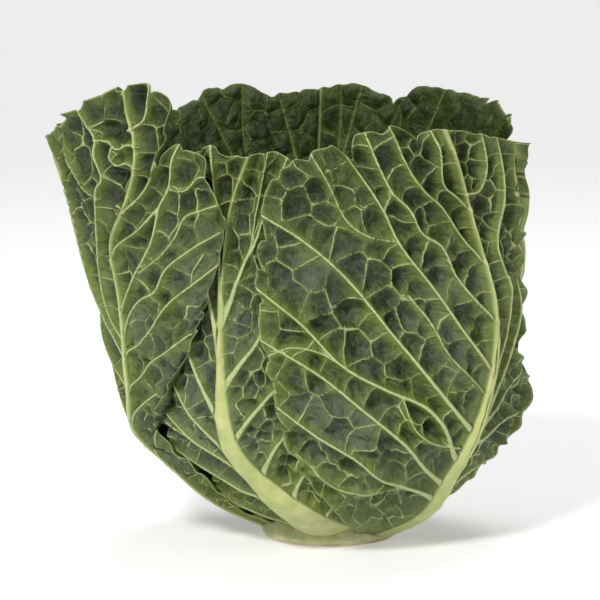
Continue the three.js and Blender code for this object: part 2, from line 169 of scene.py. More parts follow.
# %% The outer leaves
LEAVES = [
    dict(
        name="leaf_front_right", veins=(10, 4), rows=236, columns=100, seed=3,
        rib=[(60, 5), (58, 15), (53, 30), (50, 48), (55, 70), (58, 98), (52, 130), (44, 162),
             (37, 184)],
        left=[(26, 5), (9, 14), (-1, 26), (-8, 42), (-12, 84), (-13, 114), (-10, 143), (-6, 166),
              (3, 175), (9, 178), (14, 172), (14, 180), (22, 186), (30, 182), (37, 184)],
        right=[(80, 5), (80, 16), (80, 30), (83, 45), (88, 58), (86, 69), (75, 86), (77, 100),
               (73, 122), (67, 148), (68, 164), (65, 174), (51, 180), (37, 184)],
        starts=[.03, .065, .1, .17, .21, .27, .33, .43, .57, .70],
        ends=[.09, .18, .26, .33, .41, .5, .61, .80, .9, .95],
        routes={
            -1: [[(57, 20), (43, 26), (30, 31), (19, 36), (9, 47), (0, 56), (-10, 68)],
                 [(54, 28), (44, 33), (34, 40), (24, 52), (12, 68), (2, 82), (-12, 97)],
                 [(51, 40), (45, 44), (36, 60), (31, 67), (20, 75), (8, 86), (-2, 104), (-13, 120)],
                 [(53, 50), (44, 60), (35, 74), (26, 92), (10, 124), (0, 139), (-10, 150)],
                 [(57, 78), (46, 94), (35, 117), (25, 137), (21, 150), (16, 164), (12, 175)],
                 [(58, 100), (50, 109), (43, 120), (38, 134), (32, 140), (28, 150), (23, 158),
                  (20, 168), (17, 183)],
                 [(54, 124), (45, 137), (38, 150), (31, 159), (26, 170), (22, 186)],
                 [(48, 148), (43, 154), (38, 160), (37, 173), (34, 183)]],
            1: [[(55, 24), (60, 28), (68, 34), (82, 38)],
                [(50, 42), (52, 46), (57, 49), (64, 54), (77, 57)],
                [(50, 50), (56, 57), (62, 62), (68, 69), (78, 76)],
                [(54, 58), (62, 72), (68, 86), (72, 100), (72, 120), (69, 140), (66, 158),
                 (63, 174)],
                [(57, 66), (60, 82), (64, 92), (65, 108), (61, 122), (58, 132), (60, 151),
                 (57, 177)],
                [(46, 155), (51, 156), (53, 163), (51, 180)]],
        },
        branches=[[(50, 46), (42, 48), (34, 51), (28, 57), (24, 72)],
                  [(55, 68), (46, 78), (39, 88), (34, 102), (28, 114)],
                  [(25, 137), (17, 140), (12, 146), (8, 161), (4, 175)],
                  [(23, 158), (22, 154), (21, 150)],
                  [(30, 31), (16, 29), (4, 33), (-4, 44)],
                  [(8, 86), (2, 92), (-6, 94), (-12, 90)]],
        low=(1, 1, -0.8), high=(1, 1, 0.4), foot=0.5, ruffle=((-0.5, 4), (-1.5, 3)), waves=6,
        rib_height=3.6, rib_width=10.8, basin=2.7, pocket=3.1, cell=(9, 6.5), frill=1.5, lobe=3.6,
        crumple=1.4,
        folds=[((12, 172), (7, 24), 4.5)],
    ),
    dict(
        name="leaf_left", veins=(4, 5), rows=248, columns=94, seed=5,
        rib=[(-88, 5), (-89, 18), (-84, 34), (-75, 48), (-67, 64), (-64, 82), (-60, 110),
             (-57, 132), (-48, 150), (-42, 170), (-42, 201)],
        left=[(-114, 5), (-128, 14), (-139, 28), (-140, 50), (-134, 80), (-129, 108), (-128, 136),
              (-120, 156), (-105, 168), (-90, 175), (-74, 182), (-60, 190), (-50, 197), (-42, 201)],
        right=[(-60, 5), (-61, 14), (-58, 30), (-60, 46), (-53, 62), (-43, 73), (-30, 99),
               (-22, 130), (-18, 150), (-21, 162), (-22, 172), (-28, 178), (-34, 171),
               (-30, 184), (-29, 195), (-34, 202), (-42, 201)],
        routes={
            -1: [[(-86, 30), (-98, 36), (-112, 44), (-121, 56)],
                 [(-80, 42), (-96, 50), (-112, 62), (-125, 84)],
                 [(-73, 54), (-90, 66), (-108, 84), (-120, 110), (-129, 134)],
                 [(-67, 70), (-82, 84), (-98, 104), (-108, 130), (-110, 166)],
                 [(-65, 84), (-74, 98), (-82, 118), (-85, 138), (-86, 156), (-90, 175)],
                 [(-63, 90), (-69, 99), (-70, 107), (-68, 120), (-63, 134), (-59, 146), (-56, 156),
                  (-53, 161), (-54, 171), (-53, 177), (-54, 182), (-60, 190)]],
            1: [[(-84, 32), (-74, 38), (-64, 44), (-59, 50)],
                [(-77, 46), (-68, 56), (-58, 64), (-49, 70)],
                [(-71, 56), (-64, 70), (-56, 76), (-48, 84), (-40, 90), (-32, 98)],
                [(-66, 72), (-63, 84), (-53, 91), (-46, 98), (-38, 110), (-31, 118), (-23, 127)],
                [(-65, 80), (-63, 90), (-58, 100), (-49, 110), (-42, 115), (-38, 124), (-30, 133),
                 (-21, 141)],
                [(-64, 86), (-62, 100), (-52, 116), (-42, 134), (-37, 151), (-33, 160), (-31, 170),
                 (-28, 178)],
                [(-49, 147), (-42, 155), (-38, 162), (-34, 171)],
                [(-42, 182), (-37, 187), (-35, 196), (-35, 202)]],
        },
        branches=[[(-60, 122), (-56, 130), (-44, 141), (-37, 151)],
                  [(-47, 122), (-40, 129), (-34, 138), (-30, 147), (-24, 151), (-19, 154)],
                  [(-34, 158), (-29, 158), (-24, 164), (-20, 165)],
                  [(-42, 166), (-45, 168), (-47, 167), (-49, 170), (-48, 174)],
                  [(-41, 175), (-43, 176), (-46, 174), (-49, 177), (-53, 177)],
                  [(-57, 152), (-61, 155), (-68, 165), (-73, 181)],
                  [(-86, 156), (-92, 160), (-98, 171)]],
        hug={-1: 0, 1: 2.6},
        low=(1, 1, 3.0), high=(-0.5, 1, 1), foot=0.5, ruffle=((-1, 3), (-1, 4)), waves=6,
        rib_height=2, rib_width=3.4, basin=2.5, pocket=2.4, cell=(10, 9), frill=1.6, lobe=3.8,
        crumple=1.3, folds=[],
    ),
    dict(
        name="leaf_front", veins=(7, 6), forks=(0.6, 0.6), rows=190, columns=66, seed=7,
        rib=[(-6, 5), (-12, 11), (-22, 22), (-28, 36), (-28, 52), (-26, 80), (-24, 112), (-20, 145),
             (-12, 172)],
        left=[(-48, 5), (-60, 12), (-76, 22), (-88, 36), (-91, 52), (-84, 68), (-72, 86),
              (-60, 110), (-46, 140), (-34, 162), (-23, 176), (-18, 171), (-12, 172)],
        right=[(24, 5), (18, 13), (13, 26), (12, 50), (13, 80), (17, 112), (20, 138), (14, 158),
               (3, 167), (-5, 173), (-12, 172)],
        low=(7.8, 6, 6.6), high=(7.4, 6.8, 8), foot=3.8, ruffle=((-2.5, 0.5), (-2.5, 0.5)), waves=6,
        rib_height=4, rib_width=15, basin=2.0, pocket=2.2, cell=(7.5, 6), frill=1.2, lobe=3,
        crumple=1.3, folds=[((8, 62), (18, 48), 2.4)],
    ),
    dict(
        name="leaf_right", veins=(6, 6), rows=150, columns=60, seed=11,
        rib=[(108, 5), (106, 20), (104, 50), (106, 90), (102, 130), (98, 156), (95, 171)],
        left=[(94, 5), (90, 15), (80, 28), (68, 46), (60, 66), (54, 90), (56, 115), (62, 140),
              (68, 160), (74, 172), (85, 172), (95, 171)],
        right=[(131, 5), (143, 14), (151, 30), (151, 58), (148, 90), (145, 120), (138, 145),
               (126, 160), (111, 168), (95, 171)],
        low=(6.6, 8.5, 1), high=(6.2, -8, -1), foot=1.5, ruffle=((-2, 0.5), (-1, 4)), waves=6,
        rib_height=2, rib_width=4.4, basin=1.8, pocket=2.2, cell=(8, 8.5), frill=1.4, lobe=3,
        crumple=1.7, forks=(0, 0), steep=True,
        folds=[((98, 158), (14, 6), 2.2), ((100, 130), (16, 7), 1.9), ((98, 103), (16, 7), 1.6)],
    ),
    dict(
        name="leaf_back", veins=(6, 6), forks=(0.7, 0.7), rows=210, columns=84, seed=13,
        rib=[(176, 5), (178, 20), (181, 50), (178, 90), (176, 130), (174, 160), (172, 188)],
        left=[(154, 5), (145, 14), (138, 30), (132, 56), (128, 88), (121, 120), (112, 150),
              (102, 172), (97, 180), (105, 185), (118, 187), (132, 189), (144, 190), (151, 184),
              (160, 190), (172, 188)],
        right=[(198, 5), (210, 14), (220, 30), (230, 56), (236, 88), (242, 118), (243, 146),
               (236, 166), (222, 178), (212, 182), (205, 188), (199, 190), (192, 190), (186, 186),
               (172, 188)],
        low=(6.6, 2, 6), high=(3.4, 1.6, 6.4), foot=0.5, ruffle=((-2, 1), (-2, 1)), waves=6,
        rib_height=3.6, rib_width=9, basin=1.8, pocket=1.9, cell=(9, 9), frill=1.3, lobe=3.4,
        crumple=1.3, folds=[],
    ),
]

print(len(LEAVES), "outer leaves,", len(LEAVES[0]["routes"][-1]), "veins left of the first rib")

# %% [markdown]
# ## The inner leaves
# A second whorl of four leaves stands between the wrapper leaves and the heart. It is hardly
# seen, so all four share one set of blade numbers and a coarser sheet.

# %% The inner leaves
INNER_BLADE = dict(
    ruffle=((-1, 0.5), (-2, 1)), waves=4, veins=(6, 6), forks=(0.5, 0.5), rows=100, columns=38,
    rib_height=1.8, rib_width=6, basin=0.8, pocket=0.9, cell=(10, 10), frill=0.9, lobe=2.2,
    crumple=0.6, folds=[], low=(12.2, 14.4, 16.8), high=(15, 18, 21.5), foot=12,
)
LEAVES += [
    dict(
        name="leaf_inner_right", seed=17,
        rib=[(70, 5), (71, 20), (72, 50), (71, 90), (70, 120), (68, 142), (66, 158)],
        left=[(60, 5), (46, 15), (30, 32), (16, 58), (9, 88), (10, 116), (20, 140), (38, 154),
              (52, 156), (66, 158)],
        right=[(80, 5), (94, 15), (108, 32), (122, 58), (130, 88), (128, 116), (118, 140),
               (100, 152), (84, 156), (66, 158)],
        **INNER_BLADE,
    ),
    dict(
        name="leaf_inner_left", seed=19,
        rib=[(-112, 5), (-113, 20), (-114, 50), (-112, 90), (-109, 120), (-104, 142), (-101, 156)],
        left=[(-122, 5), (-136, 15), (-150, 32), (-164, 58), (-172, 88), (-172, 114), (-160, 134),
              (-142, 146), (-122, 153), (-101, 156)],
        right=[(-102, 5), (-88, 15), (-74, 32), (-58, 58), (-49, 88), (-50, 116), (-60, 138),
               (-74, 152), (-88, 154), (-101, 156)],
        **INNER_BLADE,
    ),
    dict(
        name="leaf_inner_front", seed=23,
        rib=[(-20, 5), (-21, 20), (-22, 50), (-20, 90), (-18, 120), (-16, 142), (-14, 158)],
        left=[(-30, 5), (-40, 15), (-54, 32), (-68, 58), (-76, 88), (-74, 116), (-62, 140),
              (-44, 154), (-28, 155), (-14, 158)],
        right=[(-10, 5), (4, 15), (18, 32), (32, 58), (40, 88), (40, 116), (34, 138), (20, 152),
               (2, 157), (-14, 158)],
        **INNER_BLADE,
    ),
    dict(
        name="leaf_inner_back", seed=29,
        rib=[(156, 5), (155, 20), (154, 50), (155, 90), (157, 118), (160, 136), (162, 148)],
        left=[(146, 5), (136, 15), (124, 32), (112, 58), (104, 88), (104, 112), (114, 130),
              (130, 144), (146, 146), (162, 148)],
        right=[(166, 5), (178, 15), (190, 32), (202, 58), (210, 88), (211, 112), (204, 132),
               (190, 144), (176, 149), (162, 148)],
        **INNER_BLADE,
    ),
]
print(len(LEAVES), "leaves in both whorls")

# %% [markdown]
# ## A flat sheet to start from
# A leaf could be cut from a grid, but then no row of the grid would follow a vein. So a grid is
# opened like a fan: each of its rows becomes the line of a side vein from midrib to margin, and
# the last row of the left half meets the last row of the right half at the tip. remove_doubles
# joins them, and solidify gives the sheet its second face. Each vertex keeps its place in the
# plan (side, along, across) in a layer, and z tells the outer face from the inner one.

# %% The sheet
FAN = 2.0           # radians that each half opens through
SHEET = 0.01        # thickness of the flat sheet, only to tell its two faces apart


def fan_sheet(rows, columns):
    bm = bmesh.new()
    plan = bm.verts.layers.float_vector.new("plan")
    bmesh.ops.create_grid(bm, x_segments=2 * columns, y_segments=rows, size=1)
    for vert in bm.verts:
        side = -1 if vert.co.x < -SHEET / columns else 1
        across, along = abs(vert.co.x), (vert.co.y + 1) / 2
        vert[plan] = (side, along, across)
        turn = FAN * (1 - along)
        vert.co = (side * across * math.sin(turn), along + across * math.cos(turn), 0)
    bmesh.ops.remove_doubles(bm, verts=bm.verts, dist=SHEET / rows / 100)
    bmesh.ops.solidify(bm, geom=bm.faces[:], thickness=SHEET)
    return as_mesh(bm, "sheet")


def read(mesh, name):
    """A vector layer of the mesh as an array with a row for each vertex."""
    values = np.empty(len(mesh.vertices) * 3, dtype=np.float32)
    mesh.attributes[name].data.foreach_get("vector", values)
    return values.reshape(-1, 3).astype(float)


print("each half of the fan opens through", round(math.degrees(FAN)), "degrees")

# %% [markdown]
# ## Plan of a leaf
# The rows of the sheet are laid between the midrib and the margin, and follow the side veins
# closely enough to show them sharply. Straight rows would be simpler but look ruled, so a slow
# ripple and a quick one make them stray.

# %% From sheet to shell
SAG = 0.16          # side veins bow down this much, in mm of wall height a degree of their width
WIGGLE, KINKS = 1.8, 0.8    # and stray this far from a smooth line
VEIN_SPAN, VEIN_CROWDING, MARGIN_CROWDING = 0.76, 1.25, 0.65


def ripple(points, length, seed, waves=9):
    """A random smooth field from -1 to 1 that changes over about the given length."""
    rng = np.random.default_rng(seed)
    total = np.zeros(len(points))
    for _ in range(waves):
        heading = rng.normal(size=points.shape[1])
        heading *= 2 * math.pi / (length * rng.uniform(0.75, 1.45) * np.linalg.norm(heading))
        total += np.sin(points @ heading + rng.uniform(0, 2 * math.pi))
    return total / math.sqrt(waves / 2) / 1.6


def vein_shares(leaf):
    """By side: where side veins lie in the plan, and their shares of midrib and margin."""
    rng = np.random.default_rng(leaf["seed"])
    shares = {}
    for side, n in zip((-1, 1), leaf["veins"]):
        steady = (np.arange(n) + 1 / 3) / n
        jitter = rng.uniform(-0.22, 0.22, n) / n
        starts = VEIN_SPAN * np.clip(steady + jitter, 0.02, 1) ** VEIN_CROWDING
        ends = np.clip(steady + jitter * 0.5, 0.02, 1) ** MARGIN_CROWDING
        shares[side] = (starts, ends)
    if "starts" in leaf:
        shares[-1] = (np.array(leaf["starts"]), np.array(leaf["ends"]))
    return {side: (np.linspace(0, 1, len(starts) + 2), starts, ends)
            for side, (starts, ends) in shares.items()}


def lay_out(leaf):
    """The leaf's plan as a function, the shares that it uses, and the length of each margin."""
    rib, _ = course(leaf["rib"])
    margins = {-1: course(leaf["left"]), 1: course(leaf["right"])}
    shares = vein_shares(leaf)

    def reach(side, along):
        knots, starts, ends = shares[side]
        return through(knots, [0, *starts, VEIN_SPAN], along), through(knots, [0, *ends, 1], along)

    def plan(side, along, across):
        azimuth, height, share = (np.empty(len(along)) for _ in range(3))
        for half in (-1, 1):
            chosen = side == half
            v, u = along[chosen], across[chosen]
            from_rib, to_margin = reach(half, v)
            start, end = np.array(rib(from_rib)), np.array(margins[half][0](to_margin))
            middle = (start + end) / 2
            middle[1] -= SAG * np.abs(end[0] - start[0]) * (1 - v) * v * 4
            line = (1 - u) ** 2 * start + 2 * u * (1 - u) * middle + u**2 * end
            loose = 4 * u * (1 - u) * np.minimum(v * 4, 1) * np.minimum((1 - v) * 6, 1)
            spots = np.stack([v * 9 + half * 30, u * 3], axis=1)
            stray = WIGGLE * ripple(spots, 1.4, leaf["seed"] + 1)
            stray += KINKS * ripple(spots, 0.5, leaf["seed"] + 2)
            azimuth[chosen], height[chosen] = line[0], line[1] + loose * stray
            share[chosen] = to_margin
        return azimuth, height, share

    # rows lie evenly along midrib and margins
    v = np.linspace(0, 1, 400)
    pace = sum(np.array(reach(side, v)).sum(axis=0) for side in (-1, 1))
    rows = np.interp(np.linspace(0, pace[-1], leaf["rows"] + 1), pace, v)
    return plan, shares, rows, {side: margins[side][1] for side in (-1, 1)}


for leaf in LEAVES[:2]:
    print("the midrib of", leaf["name"], "is", round(course(leaf["rib"])[1]), "mm long")

# %% [markdown]
# ## The veins and the net
# A savoy leaf has three orders of veins that can be seen from a step away: the midrib, the side
# veins, and a net between them that parts the blade into cells. The net is a Voronoi pattern:
# seeds are strewn at a set distance from each other, and a cell wall runs halfway between two
# neighbouring seeds. Seeds look only at others in their own strip between two side veins, so
# that no cell crosses a side vein. A k-d tree finds the nearest seeds quickly. Distances have a
# sign, plus on one side of a line and minus on the other: between two vertices such a distance
# passes through zero just where the line is, so even a thin line comes out unbroken.

# %% Distances to veins and cell walls
APART = 1000.0      # strips are held this far apart in millimetres while seeds are looked up


def beside(points, out, line):
    """Signed distance from a line that lies on the leaf, and the number of its nearest place."""
    ahead = np.gradient(line, axis=0)
    ahead /= np.linalg.norm(ahead, axis=1, keepdims=True)
    at = np.argmin(np.sum(line**2, axis=1) - 2 * points @ line.T, axis=1)
    aside = np.cross(out, ahead[at])
    aside /= np.linalg.norm(aside, axis=1, keepdims=True)
    gap = points - line[at]
    off = np.sum(gap * aside, axis=1)
    past = np.abs(np.sum(gap * ahead[at], axis=1)) - np.linalg.norm(line[1] - line[0])
    return np.where(off < 0, -1, 1) * np.hypot(off, np.maximum(past, 0)), at


def strew(points, spacing, allowed, seed):
    """Seeds at least a spacing apart, drawn from the given points."""
    rng = np.random.default_rng(seed)
    seeds = np.empty((0, 3))
    for number in rng.permutation(np.flatnonzero(allowed)):
        point = points[number]
        if len(seeds) == 0 or np.min(np.sum((seeds - point) ** 2, axis=1)) > spacing[number] ** 2:
            seeds = np.vstack([seeds, point])
    return seeds


def cell_walls(points, seeds):
    """Distance from each point to the wall of its cell, the cell's number and the neighbour's."""
    tree = kdtree.KDTree(len(seeds))
    for number, seed in enumerate(seeds):
        tree.insert(seed, number)
    tree.balance()
    distance, cells = np.full(len(points), APART), np.zeros((len(points), 2), dtype=int)
    for row, point in enumerate(points):
        (own, i, d0), *others = tree.find_n(point, 4)
        for other, j, d in others:
            wall = (d * d - d0 * d0) / (2 * (other - own).length)
            if wall < distance[row]:
                distance[row], cells[row] = wall, (i, j)
    return distance, cells


row = np.linspace((0, 0, 0), (60, 0, 0), 200)
print(len(strew(row, np.full(200, 9.0), row[:, 0] >= 0, 1)), "seeds 9 mm apart find room on 60 mm")

# %% [markdown]
# ## Waves of the blade
# The margin is wavy and lobed, and the waves die out towards the midrib. The slow waves are
# those of the solids. Finer frills and shallow lobes with narrow notches are added to them by
# formula, because sculpting a margin by hand can't be repeated.

# %% Waves, frills and folds
SLOW_WAVES, QUICK_SHARE, WAVES_FROM, WAVES_BY, LOW_WAVES = 0.43, 0.65, 60, 150, 0.45
FRILL_REACH, FRILL_LENGTH = 9.0, 13.0
LOBE_LENGTH = 17.0


def leaf_depth(leaf, side, across, height):
    low, high = np.array(leaf["low"]), np.array(leaf["high"])
    share = ease(LOOSE_FROM, LOOSE_BY, height)
    edge = np.where(side < 0, 0, 2)
    spread = mix(mix(low[1], high[1], share), mix(low[edge], high[edge], share), across)
    return mix(leaf["foot"], spread, ease(FIRST_WALL, LOOSE_FROM, height))


def margin_wave(leaf, side, share, across, height):
    angle = leaf["waves"] * 2 * math.pi * share
    wave = mix(np.sin(SLOW_WAVES * angle + 2), np.sin(angle + side), QUICK_SHARE)
    ruffle = np.array(leaf["ruffle"])[np.where(side < 0, 0, 1)]
    grown = mix(LOW_WAVES, 1, ease(WAVES_FROM, WAVES_BY, height))
    return mix(ruffle[:, 0], ruffle[:, 1], 0.5 + 0.5 * wave) * across**3 * grown


def fold_depth(leaf, azimuth, height):
    total = np.zeros(len(azimuth))
    for (at, up), (wide, tall), depth in leaf["folds"]:
        total += depth * np.exp(-(((azimuth - at) / wide) ** 2) - ((height - up) / tall) ** 2)
    return total


print("along a margin lobes come every", LOBE_LENGTH, "mm and frills every", FRILL_LENGTH, "mm")

# %% [markdown]
# ## Relief
# Between two veins the blade sinks like the cloth of a tent, and every cell of the net is a
# pocket of its own, deeper or shallower and tilted a little, as the tissue grew faster than the
# veins round it. Some walls of the net are strong and others hardly show. A displacement
# texture could do this, but it wouldn't know where the veins are. The same distances that shape
# the relief are kept on the mesh in millimetres, with the half width of each line, so that the
# material can draw a sharp vein exactly where the ridge is.

# %% Relief of a blade
VEIN_HALF, VEIN_TIP, VEIN_RISE = 1.35, 0.45, 1.2
NET_HALF, NET_RISE, FAINT, NET_LINE = 1.1, 0.4, 0.25, 0.4
RIB_TIP, RIB_NARROWS = 0.6, (0.02, 0.75)
FOOT_FLARE, FLARE_REACH = 0.7, 0.12
RIB_TALL_TIP, RIB_FLANK = 0.22, (0.1, 1.6)      # its height at the tip, its flanks in half widths
VEIN_FLARE, VEIN_FLARE_REACH = 0.4, 3           # side veins widen towards the midrib
FAR_MARK, FADE = 6, 1.5     # distances are kept up to this, and widths die out at this rate
NET_BEND, NET_BEND_LENGTH = 1.3, 17             # a net with bent walls looks grown
BASIN_REACH, VEIN_SIDE_REACH, POCKET_CURVE = 2.8, 1.4, 1.5
POCKET_DEPTHS, POCKET_TILT, MOST_LEAN = (0.4, 1.3), 0.15, 1.3
LUCKS = 4096                # throws of a dice, one for each pair of neighbouring cells
LOW_CRUMPLES, CRUMPLES_FROM, CRUMPLES_BY = 2.0, 35, 105
CREASE, CREASE_SHARE = 1.8, 0.25                # sharp lines between crumples
CALM_MARGIN, CALM_FOOT = 3, 0.14


def rib_widths(leaf, share):
    width = RIB_TIP + (leaf["rib_width"] / 2 - RIB_TIP) * (1 - ease(*RIB_NARROWS, share))
    return width * (1 + FOOT_FLARE * np.exp(-share / FLARE_REACH))


def marked(distance, half, reach):
    """A line's signed distance and half width, where the width dies out beyond the reach."""
    faded = half - FADE * np.maximum(np.abs(distance) - reach, 0)
    return np.clip(distance, -FAR_MARK, FAR_MARK), faded


def relief(leaf, base, out, side, along, outer, to_margin, lines, rib):
    """Sink of the blade and rise of its veins, in millimetres, and the marks for the material."""
    seed = leaf["seed"] + 100
    to_rib, at = beside(base, out, rib)
    to_rib, share = np.abs(to_rib), at / (len(rib) - 1)
    rib_half = rib_widths(leaf, share)
    rib_tall = leaf["rib_height"] * mix(1, RIB_TALL_TIP, share)
    flare = 1 + VEIN_FLARE * np.exp(-np.maximum(to_rib - rib_half, 0) / VEIN_FLARE_REACH)

    edge, to_vein, half = (np.full(len(base), APART) for _ in range(3))
    strip = (side > 0).astype(int)
    for number, (line, widths, parted) in enumerate(lines):
        away, at = beside(base, out, line)
        strip += np.where((side == parted) & (away > 0), 2 ** (number + 1), 0)
        width = widths[at] * flare
        past = np.abs(away) - width
        near = past < edge
        edge[near], to_vein[near], half[near] = past[near], away[near], width[near]
    vein_side, vein_half = marked(to_vein, half, half + 0.8)
    to_vein = np.abs(to_vein)
    edge = np.minimum(np.maximum(edge, 0), np.maximum(to_rib - rib_half, 0))

    # seeds are strewn, and a strip too narrow to hold one joins the strip of the nearest seed
    bend = np.stack([ripple(base, NET_BEND_LENGTH, seed + n) for n in (1, 2, 3)], axis=1)
    bent = base + NET_BEND * bend
    strip = np.unique(strip, return_inverse=True)[1]
    cell = np.where(side < 0, leaf["cell"][0], leaf["cell"][1]).astype(float)
    allowed = outer & (edge > 0.15 * cell)
    seeds = strew(bent + np.outer(strip, [0, 0, APART]), cell, allowed, seed + 4)
    seed_strip = np.round((seeds[:, 2] - APART / 8) / APART).astype(int)
    for lost in np.flatnonzero(~np.isin(strip, seed_strip)):
        gaps = seeds - np.outer(seed_strip, [0, 0, APART]) - bent[lost]
        strip[lost] = seed_strip[np.argmin(np.sum(gaps**2, axis=1))]
    strips = bent + np.outer(strip, [0, 0, APART])

    to_wall, pair = cell_walls(strips, seeds)
    own, lower, upper = pair[:, 0], pair.min(axis=1), pair.max(axis=1)
    rng = np.random.default_rng(seed + 5)
    luck = rng.uniform(0, 1, LUCKS)[(lower * 911 + upper * 357) % LUCKS]
    strong = mix(FAINT, 1, luck**1.5)
    wall_side, wall_half = marked(np.where(own < pair[:, 1], to_wall, -to_wall),
                                  NET_LINE * strong, 1.0)
    deep = rng.uniform(*POCKET_DEPTHS, len(seeds))[own]
    tilt = rng.normal(0, POCKET_TILT, (len(seeds), 3))[own]
    lean_in = np.sum((strips - seeds[own]) * tilt, axis=1)

    # the blade sinks between its veins, and is calm at the margin and the foot
    calm = (1 - np.exp(-np.maximum(to_margin, 0) / CALM_MARGIN)) * ease(0, CALM_FOOT, along)
    apart = 1 - np.exp(-edge / VEIN_SIDE_REACH)
    basin = leaf["basin"] * (1 - np.exp(-edge / BASIN_REACH))
    hollow = to_wall**2 / (to_wall**2 + POCKET_CURVE**2)
    pocket = leaf["pocket"] * deep * hollow * apart
    pocket += np.clip(lean_in, -MOST_LEAN, MOST_LEAN) * hollow * apart
    crumple = 0.7 * ripple(base, 10, seed + 6, 12) + 0.4 * ripple(base, 4.8, seed + 7, 16)
    crumple -= CREASE * np.maximum(0, CREASE_SHARE - np.abs(ripple(base, 12, seed + 8, 10)))
    crumple *= 1 - np.exp(-edge / 1.8)
    crumple *= mix(LOW_CRUMPLES, 1, ease(CRUMPLES_FROM, CRUMPLES_BY, base[:, 2]))
    sink = (basin + pocket + crumple * leaf["crumple"]) * calm
    sink *= ease(0.6, 1.9, to_rib / rib_half)

    # ridges of the side veins, the net and the midrib
    side_ridge = VEIN_RISE * mix(0.55, 1, half / VEIN_HALF)
    side_ridge = side_ridge * np.exp(-((to_vein / (0.4 + half)) ** 2))
    net_ridge = NET_RISE * strong * np.exp(-((to_wall / NET_HALF) ** 2)) * apart
    rib_ridge = rib_tall * (1 - ease(RIB_FLANK[0] * rib_half, RIB_FLANK[1] * rib_half, to_rib))
    rise = np.hypot((side_ridge + net_ridge) * calm, rib_ridge)

    marks = {
        "vein_side": vein_side, "vein_half": vein_half, "wall_side": wall_side,
        "wall_half": wall_half, "to_rib": to_rib - rib_half, "to_margin": to_margin,
        # pocket is how deep the blade lies in its pocket, and the skin paints shade by it
        "pocket": np.clip((basin + pocket) / (leaf["basin"] + leaf["pocket"]), 0, 1) * calm,
        "flat": base * MM,
    }
    return sink, rise, marks


widest = 2 * float(rib_widths(LEAVES[0], 0.0))
print("the first midrib is", round(widest, 1), "mm wide at its foot")

# %% [markdown]
# ## Marks for the material
# A material can read a number that lies on every vertex. Blender calls such a layer an
# attribute, and the mesh keeps it. Painting the veins into a picture would need a flat map of the
# leaf, and attributes need none. A leaf also has two skins, so its faces get a material number.

# %% Marks for the material
def keep(mesh, marks):
    for name, values in marks.items():
        kind, key = ("FLOAT_VECTOR", "vector") if values.ndim == 2 else ("FLOAT", "value")
        layer = mesh.attributes.new(name, kind, "POINT")
        layer.data.foreach_set(key, values.astype(np.float32).ravel())


def finish_mesh(mesh, outer):
    """The inner face gets the second material."""
    loops = np.empty(len(mesh.loops), dtype=np.int32)
    mesh.loops.foreach_get("vertex_index", loops)
    firsts = np.empty(len(mesh.polygons), dtype=np.int32)
    mesh.polygons.foreach_get("loop_start", firsts)
    within = np.add.reduceat((~outer[loops]).astype(int), firsts) >= 3
    mesh.polygons.foreach_set("material_index", within.astype(np.int32))
    mesh.attributes.remove(mesh.attributes["plan"])
    mesh.update()


print("distances up to", FAR_MARK, "mm are kept on the leaves")

# %% [markdown]
# ## Warping the sheet into a leaf
# A leaf has two faces, a thin blade between them and a thinner rim. Every vertex is moved by the
# same formula: its place in the plan gives its place on the shell, and the relief says how far
# the outer face stands out there. The inner face follows one blade's thickness inside, without
# the ridges. Moving the vertices of one closed sheet keeps the leaf closed.

# %% Make a leaf
FINE_BLADE, FINE_RIM, RIM_REACH = 0.9, 0.45, 4.0
STEPS = 90
FORK = 0.7          # a fork is this much as wide as its vein
HUG_REACH, HUG_ENDS = 8, (45, 75)
LOBE_WANDER = 6     # lobes and frills wander this far in millimetres
NOTCH_WIDTH, NOTCH_POINT, DEEPEST_CUT = 0.8, 1.5, 0.3   # the last is a share of the blade
LOBES_BY, FRILLS_BY = 30, 50        # heights where both have grown to their full size


def vein_width(across, start=VEIN_HALF):
    """Half the width of a side vein, which narrows quickly at first."""
    return VEIN_TIP + (start - VEIN_TIP) * np.exp(-across / 0.35)


def vein_paths(leaf, shares, plan):
    """Azimuth, wall height and half width along each vein, and the side that it parts."""
    rng = np.random.default_rng(leaf["seed"] + 20)
    line = np.linspace(0, 1, STEPS)
    if "routes" in leaf:
        rib = np.array(course(leaf["rib"])[0](line))
        veins = [(route, side) for side in (-1, 1) for route in leaf["routes"][side]]
        veins += [(route, 0) for route in leaf["branches"]]
        paths = []
        for route, side in veins:
            at = np.argmin(np.sum((rib.T - route[0]) ** 2, axis=1)) / STEPS
            start = np.clip(0.3 + 0.26 * rib_widths(leaf, at), VEIN_TIP, VEIN_HALF)
            start = start if side else FORK * VEIN_TIP
            paths.append((*course(route)[0](line), vein_width(line, start), side))
        return paths
    paths = []
    for side, forked in zip((-1, 1), leaf["forks"]):
        knots, half = shares[side][0], np.full(STEPS, side)
        for k in range(1, len(knots) - 1):
            azimuth, height, _ = plan(half, np.full(STEPS, knots[k]), line)
            paths.append((azimuth, height, vein_width(line), side))
            start = rng.uniform(0.25, 0.6)
            strand = rng.uniform(0.35, 0.6) * (knots[k + 1] - knots[k])
            if rng.uniform() < forked:
                u = mix(start, 1, line)
                strand *= rng.choice([-1, 1], p=[0.3, 0.7])
                azimuth, height, _ = plan(half, knots[k] + strand * line**0.9, u)
                paths.append((azimuth, height, FORK * vein_width(u), 0))
    return paths


def wrapper_depth(leaf, side, along, across, azimuth, height, share):
    depth = leaf_depth(leaf, side, across, height) + fold_depth(leaf, azimuth, height)
    return depth - margin_wave(leaf, side, share, across, height) * ease(0, 0.15, along)


